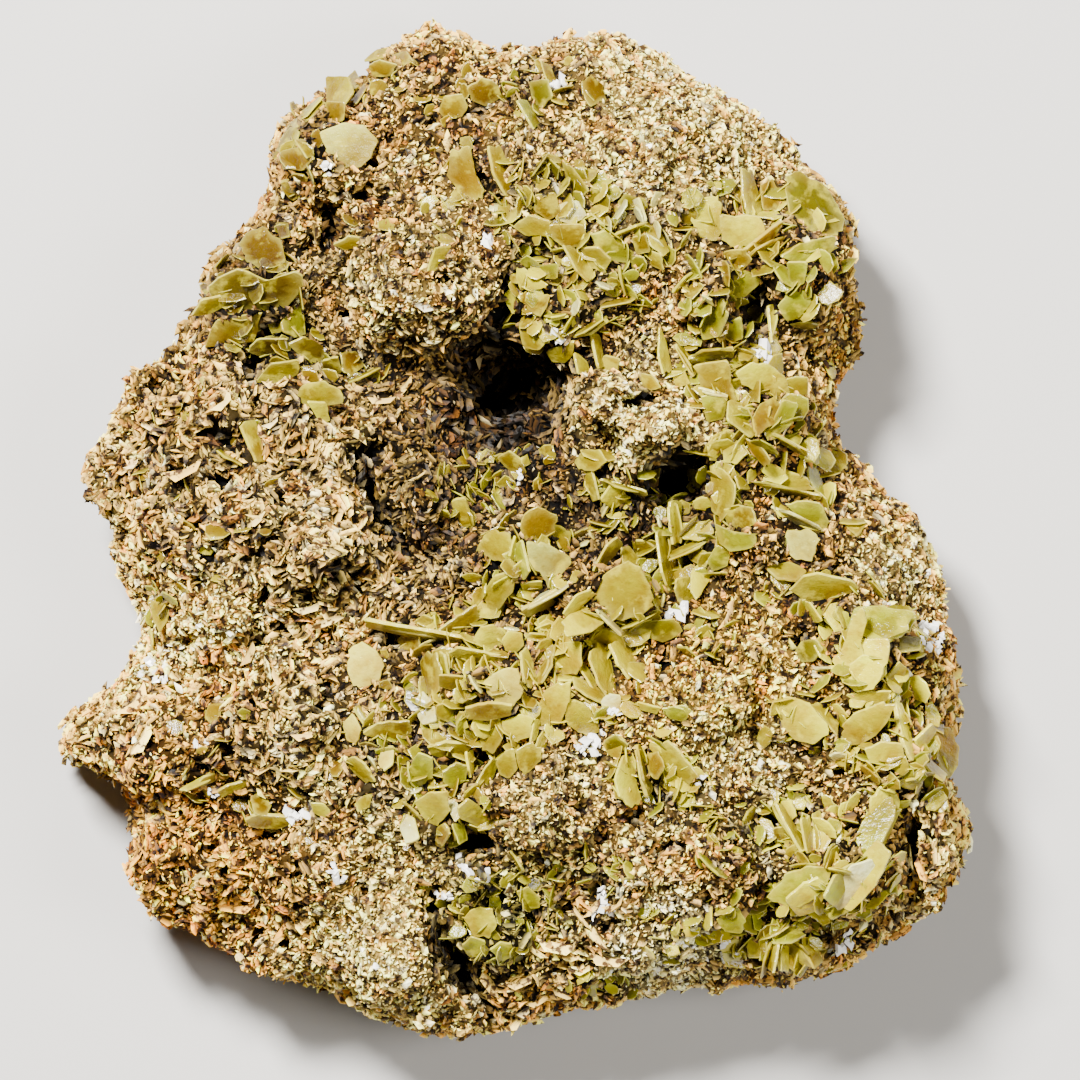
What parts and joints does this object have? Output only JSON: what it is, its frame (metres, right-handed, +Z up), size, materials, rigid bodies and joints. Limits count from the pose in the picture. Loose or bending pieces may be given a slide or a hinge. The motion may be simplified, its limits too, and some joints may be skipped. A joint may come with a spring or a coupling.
{
  "type": "wulfenite on dolomite specimen",
  "caption": "Loose mineral specimen: a lumpy dolomite rock with an open vug and cracks, lying on a flat back, its upper side grown over with fans of thin tabular wulfenite crystals",
  "frame": {"origin": "Middle of the bounding box in plan, on the flat underside that the rock lies on (Z = 0)", "axes": "+Z is up, out of the crystal-covered side; +Y runs from the wide foot to the narrower head, along the longest side; +X is to the right, where the wulfenite is greener"},
  "size_m": [0.0914, 0.1025, 0.043],
  "materials": {
    "dolomite": "rough, sugary, cream to tan and orange-brown",
    "wulfenite": "glossy, slightly see-through, amber to lemon and yellow-green"
  },
  "bodies": {
    "root": {"dolomite_matrix": "dolomite", "wulfenite_bridge_foot": "wulfenite", "wulfenite_brow_edge": "wulfenite", "wulfenite_brow_lower": "wulfenite", "wulfenite_brow_plate": "wulfenite", "wulfenite_brown_corner": "wulfenite", "wulfenite_centre_foot": "wulfenite", "wulfenite_centre_left": "wulfenite", "wulfenite_centre_low": "wulfenite", "wulfenite_centre_skirt": "wulfenite", "wulfenite_centre_stalks": "wulfenite", "wulfenite_cheek_fan": "wulfenite", "wulfenite_cheek_low": "wulfenite", "wulfenite_cheek_upper": "wulfenite", "wulfenite_crest": "wulfenite", "wulfenite_crest_gold": "wulfenite", "wulfenite_crest_pair": "wulfenite", "wulfenite_crest_stem": "wulfenite", "wulfenite_forehead_blade": "wulfenite", "wulfenite_forehead_fan": "wulfenite", "wulfenite_forehead_left": "wulfenite", "wulfenite_forehead_right": "wulfenite", "wulfenite_green_fold": "wulfenite", "wulfenite_green_nodule": "wulfenite", "wulfenite_hip_edge": "wulfenite", "wulfenite_hip_fan": "wulfenite", "wulfenite_knob_plate": "wulfenite", "wulfenite_left_shelf": "wulfenite", "wulfenite_lobe_blade": "wulfenite", "wulfenite_long_blade": "wulfenite", "wulfenite_low_green": "wulfenite", "wulfenite_low_sheaf": "wulfenite", "wulfenite_middle_fan": "wulfenite", "wulfenite_middle_horn": "wulfenite", "wulfenite_neck": "wulfenite", "wulfenite_neck_edge": "wulfenite", "wulfenite_neck_lower": "wulfenite", "wulfenite_olive_plate": "wulfenite", "wulfenite_pale_plate": "wulfenite", "wulfenite_pale_slab": "wulfenite", "wulfenite_petal_left": "wulfenite", "wulfenite_petals": "wulfenite", "wulfenite_pocket_pair": "wulfenite", "wulfenite_rim_fan": "wulfenite", "wulfenite_shelf_foot": "wulfenite", "wulfenite_shelf_lower": "wulfenite", "wulfenite_shield": "wulfenite", "wulfenite_shoulder": "wulfenite", "wulfenite_skirt_blade": "wulfenite", "wulfenite_skirt_star": "wulfenite", "wulfenite_step_left": "wulfenite", "wulfenite_step_low": "wulfenite", "wulfenite_step_plate": "wulfenite", "wulfenite_step_right": "wulfenite", "wulfenite_step_sheaf": "wulfenite", "wulfenite_toe_fan": "wulfenite", "wulfenite_white_edge": "wulfenite"}
  },
  "joints": []
}
